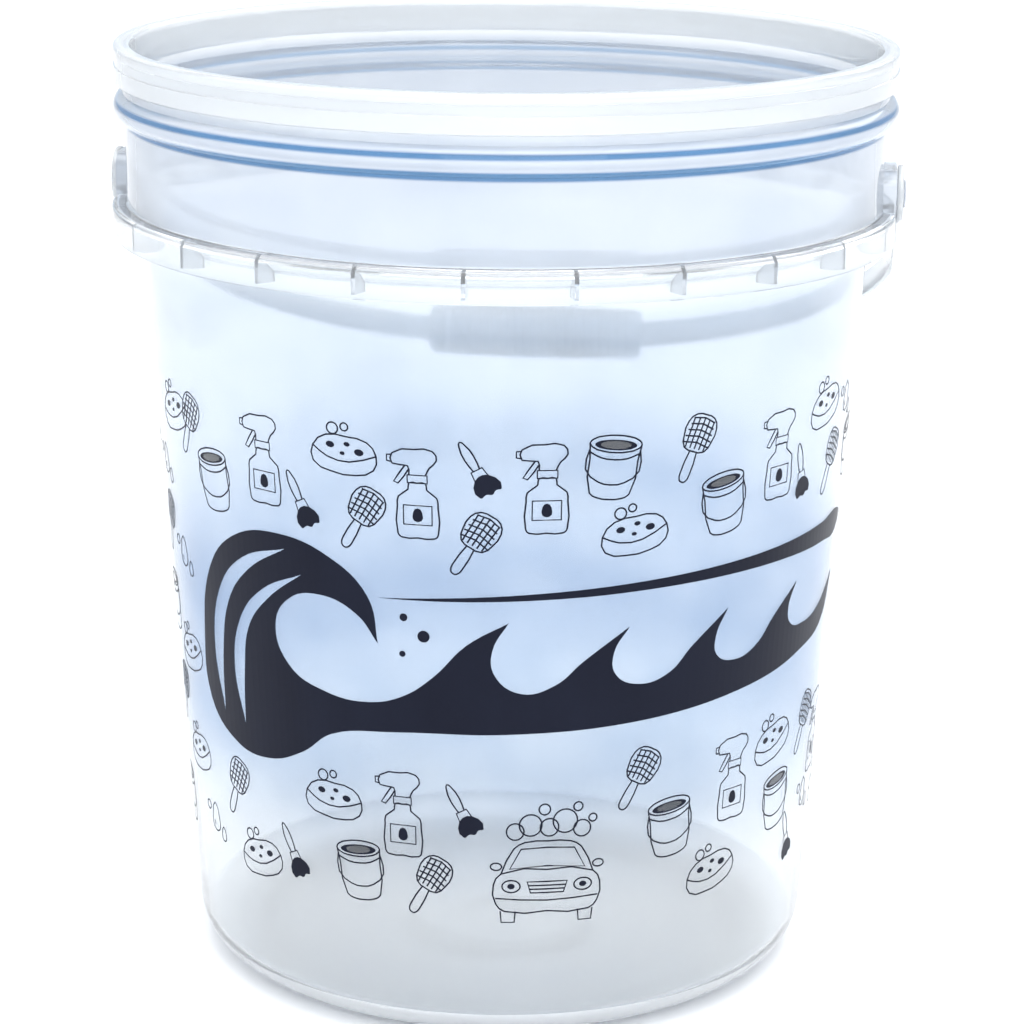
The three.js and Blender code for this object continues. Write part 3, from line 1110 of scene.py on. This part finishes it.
# %% The bail's plastic
natural = Finish("natural polypropylene", Transmission_Weight=0.6, IOR=1.49)
flow = natural.noise(25, 3.0)
natural.set("Base Color", natural.blend(flow, colour(254, 255, 255), colour(246, 250, 254)))
natural.set("Roughness", 0.07 + 0.06 * natural.noise(6, 4.0))
natural.bump(natural.noise(2.2, 4.0), 0.25, 0.05)
print("bail:", natural.material.name)

# %% [markdown]
# Screen printing ink is nearly black navy with a soft sheen. It is a little uneven where the
# screen laid it down, and a close look shows the weave of the screen.

# %% The ink
ink = Finish("navy ink", IOR=1.45, Specular_IOR_Level=0.12)
laid_down = ink.noise(26, 3.0, (1, 1, 0.4))
grain = ink.noise(0.6, 2.0)
ink_depth = 0.75 * laid_down + 0.25 * grain
ink.set("Base Color", ink.blend(ink_depth, colour(10, 13, 28), colour(24, 29, 45)))
ink.set("Roughness", 0.3 + 0.16 * laid_down)
ink.bump(grain, 0.15, 0.02)
print("print:", ink.material.name)

# %% [markdown]
# The pail has two finishes on one mesh, so each face is given the number of its slot. The faces
# are told apart by height, and a rib by facing along the skirt and not out of it.

# %% Giving each piece its finish
foot_radius, foot_top = 97.3, 12
floor_finish_top = floor_top + 1
skirt_finish_top = skirt_top + 0.2
beside_ear = ear_half_width + 1


def is_thick(centre, normal):
    """In the neck, bead, rim, ears, foot or floor, or one of the ribs behind the clear skirt."""
    x, y, height = centre / mm
    radius = math.hypot(x, y)
    in_floor = height < (foot_top if radius > foot_radius else floor_finish_top)
    in_skirt = wall_top < height < skirt_finish_top and abs(y) > beside_ear
    outwards = abs(normal.x * x + normal.y * y) / max(radius, 1)
    is_rib = in_skirt and outwards < 0.3 and abs(normal.z) < 0.3
    return in_floor or is_rib or (height > wall_top and not in_skirt)


def finish_with(piece, *finishes):
    """Gives a piece its materials, in the order of its slots."""
    piece.data.materials.clear()
    for finish in finishes:
        piece.data.materials.append(finish.material)


finish_with(pail, thin_wall, thick_parts)
for polygon in pail.data.polygons:
    polygon.material_index = int(is_thick(polygon.center, polygon.normal))
finish_with(bail, natural)
finish_with(big_print, ink)
finish_with(small_print, ink)
hazy = sum(polygon.material_index for polygon in pail.data.polygons)
print("faces in the hazier finish:", hazy, "of", len(pail.data.polygons))

# %% [markdown]
# ## Joining the looks to the frame
#
# Each piece rides on its body and stands for the parts that it covers. The pail's one mesh
# stands for eleven features of the engineering model, and the bail's for five.

# %% Riding on the frame
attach(pail, "pail")
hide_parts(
    "floor_panel", "foot_ring", "side_wall", "stacking_shoulder", "neck_wall", "lid_bead",
    "rolled_rim", "skirt_front", "skirt_back", "right_ear", "left_ear",
)
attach(bail, "bail")
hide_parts("right_hub", "right_strap", "left_hub", "left_strap", "grip")
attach(big_print, "pail")
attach(small_print, "pail")
print("riding:", [piece.name for piece in (pail, bail, big_print, small_print)])

# %% [markdown]
# ## The studio
#
# Clear plastic is seen by what it bends and mirrors. A white floor and a pale sky that is bluer
# near the horizon give it clean edges. The floor lies a hair below the foot, because two
# surfaces in one place flicker between each other.

# %% Floor and sky
bpy.ops.object.select_all(action="DESELECT")
bpy.ops.mesh.primitive_plane_add(size=24)
floor = bpy.context.object
floor.name = "studio_floor"
floor.location.z = -0.2 * mm
paper = Finish("white paper", IOR=1.4)
paper.set("Base Color", paper.blend(paper.noise(400), colour(250, 251, 253), colour(247, 249, 252)))
paper.set("Roughness", 0.75 + 0.1 * paper.noise(3))
floor.data.materials.append(paper.material)

sky = bpy.data.worlds.new("studio sky")
sky.use_nodes = True
bpy.context.scene.world = sky
nodes, links = sky.node_tree.nodes, sky.node_tree.links
where = nodes.new("ShaderNodeTexCoord")
split = nodes.new("ShaderNodeSeparateXYZ")
bands = nodes.new("ShaderNodeValToRGB")
links.new(where.outputs["Generated"], split.inputs[0])
links.new(split.outputs[2], bands.inputs[0])
links.new(bands.outputs[0], nodes["Background"].inputs["Color"])
bands.color_ramp.elements[0].color = colour(212, 228, 246)
bands.color_ramp.elements[1].position = 0.35
bands.color_ramp.elements[1].color = colour(255, 255, 255)
nodes["Background"].inputs["Strength"].default_value = 1.2
print("stage:", floor.name, "and", sky.name)

# %% [markdown]
# A wide soft light overhead shines in at the mouth, and brightens the floor inside and the far
# wall. A weaker one in front keeps the print readable, and one behind lifts the bail, which is
# seen through two walls.

# %% Lights
def soft_light(name, place, size, power):
    """A large square light that faces the middle of the bucket."""
    bpy.ops.object.light_add(type="AREA", location=place)
    lamp = bpy.context.object
    lamp.name = name
    lamp.data.size = size
    lamp.data.energy = power
    aim = Vector((0, 0, 0.2)) - Vector(place)
    lamp.rotation_euler = aim.to_track_quat("-Z", "Y").to_euler()


soft_light("top light", (0.1, -0.4, 2.6), 2.0, 45)
soft_light("front light", (0.5, -2.6, 1.3), 2.2, 23)
soft_light("back light", (1.4, 2.0, 1.8), 1.6, 16)

# %% [markdown]
# ## The camera
#
# It stands 1.25 m away, about 0.5 m up, and looks down by a little over fifteen degrees. A long
# lens keeps the sides of the pail nearly upright in the picture. The plain Standard view keeps
# white white, which a clear pail on a white floor needs.

# %% Camera
distance, eye_height, long_lens = 1.2538, 0.5254, 112.092
around = math.radians(front_angle)
look_down, swing, roll = 0.2695, around - 0.0029, 0.0089
bpy.ops.object.camera_add()
camera = bpy.context.object
camera.data.lens = long_lens
camera.data.sensor_width = 36
stand = Vector((distance * math.sin(around), -distance * math.cos(around), eye_height))
camera.matrix_world = (
    Matrix.Translation(stand)
    @ Matrix.Rotation(swing, 4, "Z")
    @ Matrix.Rotation(math.pi / 2 - look_down, 4, "X")
    @ Matrix.Rotation(roll, 4, "Z")
)
bpy.context.scene.camera = camera
bpy.context.scene.view_settings.view_transform = "Standard"
bpy.context.scene.view_settings.exposure = -0.12
print("camera:", round(stand.length, 2), "m from the ground under the pail")
